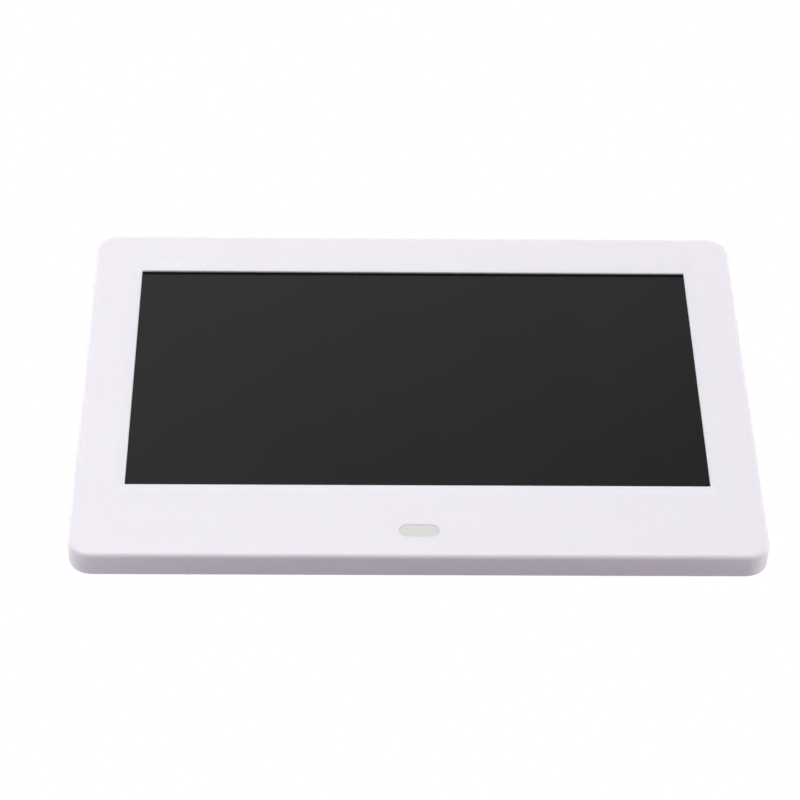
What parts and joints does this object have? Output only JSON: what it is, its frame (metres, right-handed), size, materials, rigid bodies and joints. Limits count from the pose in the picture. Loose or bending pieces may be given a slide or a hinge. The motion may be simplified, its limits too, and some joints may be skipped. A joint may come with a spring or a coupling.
{
  "type": "digital photo frame",
  "caption": "Slim white desktop photo frame with a wide dark display, sloping screen border, infrared window, rear keys, side sockets and a fold-out stand leg.",
  "frame": {"origin": "middle of the outline, on the surface the frame lies on, screen up", "axes": "+X along the long side to the right of the picture, +Y towards the picture's top edge, +Z out of the screen"},
  "size_m": [0.1818, 0.1288, 0.019],
  "materials": {
    "white_shell": "satin-gloss moulded ABS, white with a cool tint",
    "white_key": "satin moulded ABS",
    "screen": "anti-glare polariser film over a dark panel",
    "panel_glass": "dark display glass",
    "ir_window": "pale grey infrared-passing plastic",
    "black_plastic": "moulded",
    "pale_plastic": "moulded",
    "clear_acrylic": "polished, dotted on its back",
    "lead_jacket": "PVC jacket",
    "ribbon_film": "polyimide film",
    "circuit_board": "solder mask on glass-epoxy",
    "steel": "plated",
    "plated_pin": "nickel-plated brass",
    "ferrite": "sintered",
    "aluminium_can": "drawn can",
    "black_rubber": "matt"
  },
  "bodies": {
    "root": {"front_bezel": "white_shell", "screen_gasket": "black_rubber", "ir_window": "ir_window", "ir_receiver": "black_plastic", "ir_board": "circuit_board", "ir_lead": "lead_jacket", "lcd_polariser": "screen", "lcd_upper_glass": "panel_glass", "lcd_lower_glass": "panel_glass", "lcd_driver_chips": "black_plastic", "lcd_frame": "pale_plastic", "lcd_diffuser_sheets": "pale_plastic", "lcd_light_guide": "clear_acrylic", "lcd_reflector": "pale_plastic", "backlight_led_strip": "pale_plastic", "backlight_lead": "lead_jacket", "lcd_back_plate": "steel", "lcd_ribbon": "ribbon_film", "lcd_retainers": "steel", "main_board": "circuit_board", "processor_chip": "black_plastic", "memory_chip": "black_plastic", "flash_chip": "black_plastic", "power_inductors": "ferrite", "capacitors": "aluminium_can", "crystal": "steel", "battery_holder": "black_plastic", "backup_battery": "steel", "ribbon_connector": "pale_plastic", "lead_connectors": "pale_plastic", "sd_card_socket": "steel", "usb_socket_shell": "steel", "usb_socket_tongue": "black_plastic", "mini_usb_socket": "steel", "headphone_jack": "black_plastic", "power_jack": "black_plastic", "power_jack_pin": "plated_pin", "speaker_gaskets": "black_rubber", "speaker_frames": "black_plastic", "speaker_cones": "black_plastic", "speaker_magnets": "ferrite", "speaker_leads": "lead_jacket", "small_screws": "steel", "key_board": "circuit_board", "key_ribbon": "ribbon_film", "key_switches": "steel", "rear_cover": "white_shell", "case_screws": "steel", "rear_feet": "black_rubber", "stand_hinge_pin": "steel"},
    "stand": {"stand_leg": "white_shell", "stand_pad": "black_rubber"},
    "power_key_body": {"power_key": "white_key"},
    "menu_key_body": {"menu_key": "white_key"},
    "up_key_body": {"up_key": "white_key"},
    "left_key_body": {"left_key": "white_key"},
    "enter_key_body": {"enter_key": "white_key"},
    "right_key_body": {"right_key": "white_key"},
    "down_key_body": {"down_key": "white_key"}
  },
  "joints": [
    {"name": "stand_hinge", "type": "hinge", "parent": "root", "child": "stand", "pos_m": [0, 0.036, 0.0036], "axis": [1, 0, 0], "range_deg": [0, 38]},
    {"name": "power_key_press", "type": "slide", "parent": "root", "child": "power_key_body", "axis": [0, 0, 1], "range_m": [0, 0.0005], "stiffness_N_per_m": 2500, "springref_m": -0.0001},
    {"name": "menu_key_press", "type": "slide", "parent": "root", "child": "menu_key_body", "axis": [0, 0, 1], "range_m": [0, 0.0005], "stiffness_N_per_m": 2500, "springref_m": -0.0001},
    {"name": "up_key_press", "type": "slide", "parent": "root", "child": "up_key_body", "axis": [0, 0, 1], "range_m": [0, 0.0005], "stiffness_N_per_m": 2500, "springref_m": -0.0001},
    {"name": "left_key_press", "type": "slide", "parent": "root", "child": "left_key_body", "axis": [0, 0, 1], "range_m": [0, 0.0005], "stiffness_N_per_m": 2500, "springref_m": -0.0001},
    {"name": "enter_key_press", "type": "slide", "parent": "root", "child": "enter_key_body", "axis": [0, 0, 1], "range_m": [0, 0.0005], "stiffness_N_per_m": 2500, "springref_m": -0.0001},
    {"name": "right_key_press", "type": "slide", "parent": "root", "child": "right_key_body", "axis": [0, 0, 1], "range_m": [0, 0.0005], "stiffness_N_per_m": 2500, "springref_m": -0.0001},
    {"name": "down_key_press", "type": "slide", "parent": "root", "child": "down_key_body", "axis": [0, 0, 1], "range_m": [0, 0.0005], "stiffness_N_per_m": 2500, "springref_m": -0.0001}
  ]
}
